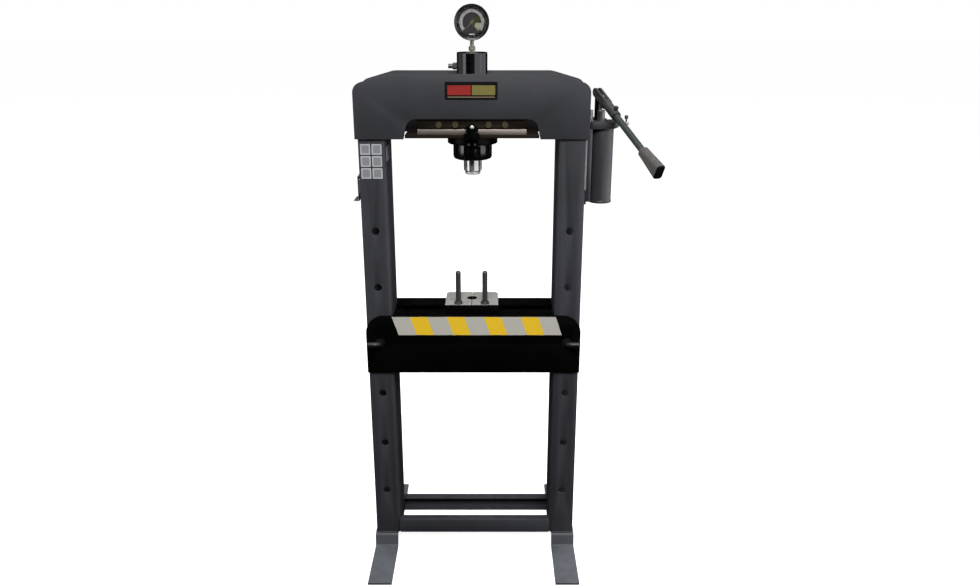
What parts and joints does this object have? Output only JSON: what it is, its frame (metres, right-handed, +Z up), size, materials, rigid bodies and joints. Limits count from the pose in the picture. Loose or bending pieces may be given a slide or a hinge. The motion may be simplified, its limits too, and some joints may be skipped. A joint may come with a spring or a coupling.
{
  "type": "workshop press",
  "caption": "Floor-standing hydraulic workshop press: H frame with pinned height-adjustable bed, sideways-sliding cylinder with gauge, hand pump and lever.",
  "frame": {"origin": "on the floor, midway between the uprights and midway front to back", "axes": "+X to the pump side (the viewer's right), +Y to the back, +Z up"},
  "size_m": [0.8753, 0.6028, 1.742],
  "materials": {
    "frame_paint": "semi-gloss powder coat",
    "foot_paint": "semi-gloss powder coat",
    "bed_paint": "semi-gloss powder coat",
    "guide_paint": "satin",
    "slide_steel": "machined",
    "bolt_zinc": "yellow zinc",
    "cylinder_paint": "gloss",
    "knob_plastic": "gloss",
    "ram_chrome": "polished",
    "turned_steel": "turned",
    "seal_rubber": "matt",
    "gauge_black": "gloss",
    "gauge_glass": "clear",
    "gauge_face": "printed scale",
    "needle_paint": "satin",
    "stem_brass": "machined",
    "connection_steel": "zinc plated",
    "arbor_zinc": "zinc plated",
    "rod_black": "black oxide",
    "pin_steel": "turned",
    "pump_paint": "gloss",
    "casting_paint": "satin",
    "handle_paint": "satin",
    "grip_rubber": "matt",
    "plug_plastic": "matt",
    "holder_zinc": "zinc plated"
  },
  "bodies": {
    "frame": {"left_upright": "frame_paint", "right_upright": "frame_paint", "front_cross_bar": "frame_paint", "rear_cross_bar": "frame_paint", "front_head_plate": "frame_paint", "rear_head_plate": "frame_paint", "left_foot": "foot_paint", "right_foot": "foot_paint", "front_bed_rail": "bed_paint", "rear_bed_rail": "bed_paint", "bed_ties": "bed_paint", "front_guide_beam": "guide_paint", "rear_guide_beam": "guide_paint", "head_shelf": "guide_paint", "slide_plate": "slide_steel", "front_guide_strip": "slide_steel", "rear_guide_strip": "slide_steel", "guide_bolts": "bolt_zinc", "pump_barrel": "turned_steel", "fulcrum_pin": "turned_steel", "valve_boss": "turned_steel", "pump_connection": "connection_steel", "left_arbor_plate": "arbor_zinc", "right_arbor_plate": "arbor_zinc", "left_arbor_rod": "rod_black", "right_arbor_rod": "rod_black", "pump_bracket": "pump_paint", "oil_tank": "pump_paint", "pump_head": "casting_paint", "fulcrum_ear": "casting_paint", "filler_plug": "plug_plastic", "tool_holder": "holder_zinc"},
    "carriage": {"carriage_plate": "cylinder_paint", "ring_nut": "cylinder_paint", "cylinder": "cylinder_paint", "gland_nut": "cylinder_paint", "ram_wiper": "seal_rubber", "cylinder_connection": "connection_steel", "lock_bracket": "cylinder_paint", "gauge_case": "gauge_black", "gauge_bezel": "gauge_black", "gauge_glass": "gauge_glass", "gauge_dial": "gauge_face", "gauge_stem": "stem_brass"},
    "ram": {"ram": "ram_chrome", "piston": "turned_steel", "piston_seal": "seal_rubber", "pressing_cap": "turned_steel"},
    "needle": {"gauge_needle": "needle_paint"},
    "lock": {"lock_knob": "knob_plastic"},
    "lever": {"lever_fork": "casting_paint", "handle_rod": "handle_paint", "handle_grip": "grip_rubber", "handle_set_screw": "turned_steel"},
    "plunger": {"plunger": "turned_steel", "plunger_pin": "turned_steel"},
    "release_valve": {"valve_spindle": "turned_steel", "valve_cross_bar": "turned_steel"},
    "left_pin": {"left_bed_pin": "pin_steel"},
    "right_pin": {"right_bed_pin": "pin_steel"}
  },
  "joints": [
    {"name": "carriage_slide", "type": "slide", "parent": "frame", "child": "carriage", "axis": [1, 0, 0], "range_m": [-0.08, 0.08]},
    {"name": "ram_slide", "type": "slide", "parent": "carriage", "child": "ram", "axis": [0, 0, -1], "range_m": [0, 0.15], "stiffness_N_per_m": 900, "springref_m": -0.12},
    {"name": "needle_turn", "type": "hinge", "parent": "carriage", "child": "needle", "pos_m": [0, 0, 1.692], "axis": [0, 1, 0], "range_deg": [0, 270], "stiffness_Nm_per_rad": 0.001, "springref_deg": -68.75},
    {"name": "lock_turn", "type": "hinge", "parent": "carriage", "child": "lock", "pos_m": [0, -0.1, 1.392], "axis": [0, -1, 0], "range_deg": [0, 360]},
    {"name": "lever_swing", "type": "hinge", "parent": "frame", "child": "lever", "pos_m": [0.37013, 0.02406, 1.495], "axis": [-0.9252, -0.3795, 0], "range_deg": [0, 50]},
    {"name": "plunger_slide", "type": "slide", "parent": "frame", "child": "plunger", "axis": [0, 0, 1], "range_m": [0, 0.0248]},
    {"name": "valve_turn", "type": "hinge", "parent": "frame", "child": "release_valve", "pos_m": [0.431, 0, 1.407], "axis": [1, 0, 0], "range_deg": [0, 180]},
    {"name": "left_pin_slide", "type": "slide", "parent": "frame", "child": "left_pin", "axis": [0, -1, 0], "range_m": [0, 0.19]},
    {"name": "right_pin_slide", "type": "slide", "parent": "frame", "child": "right_pin", "axis": [0, -1, 0], "range_m": [0, 0.19]}
  ],
  "couplings": [
    {"joint": "plunger_slide", "follows": "lever_swing", "m_per_rad": 0.028129}
  ]
}
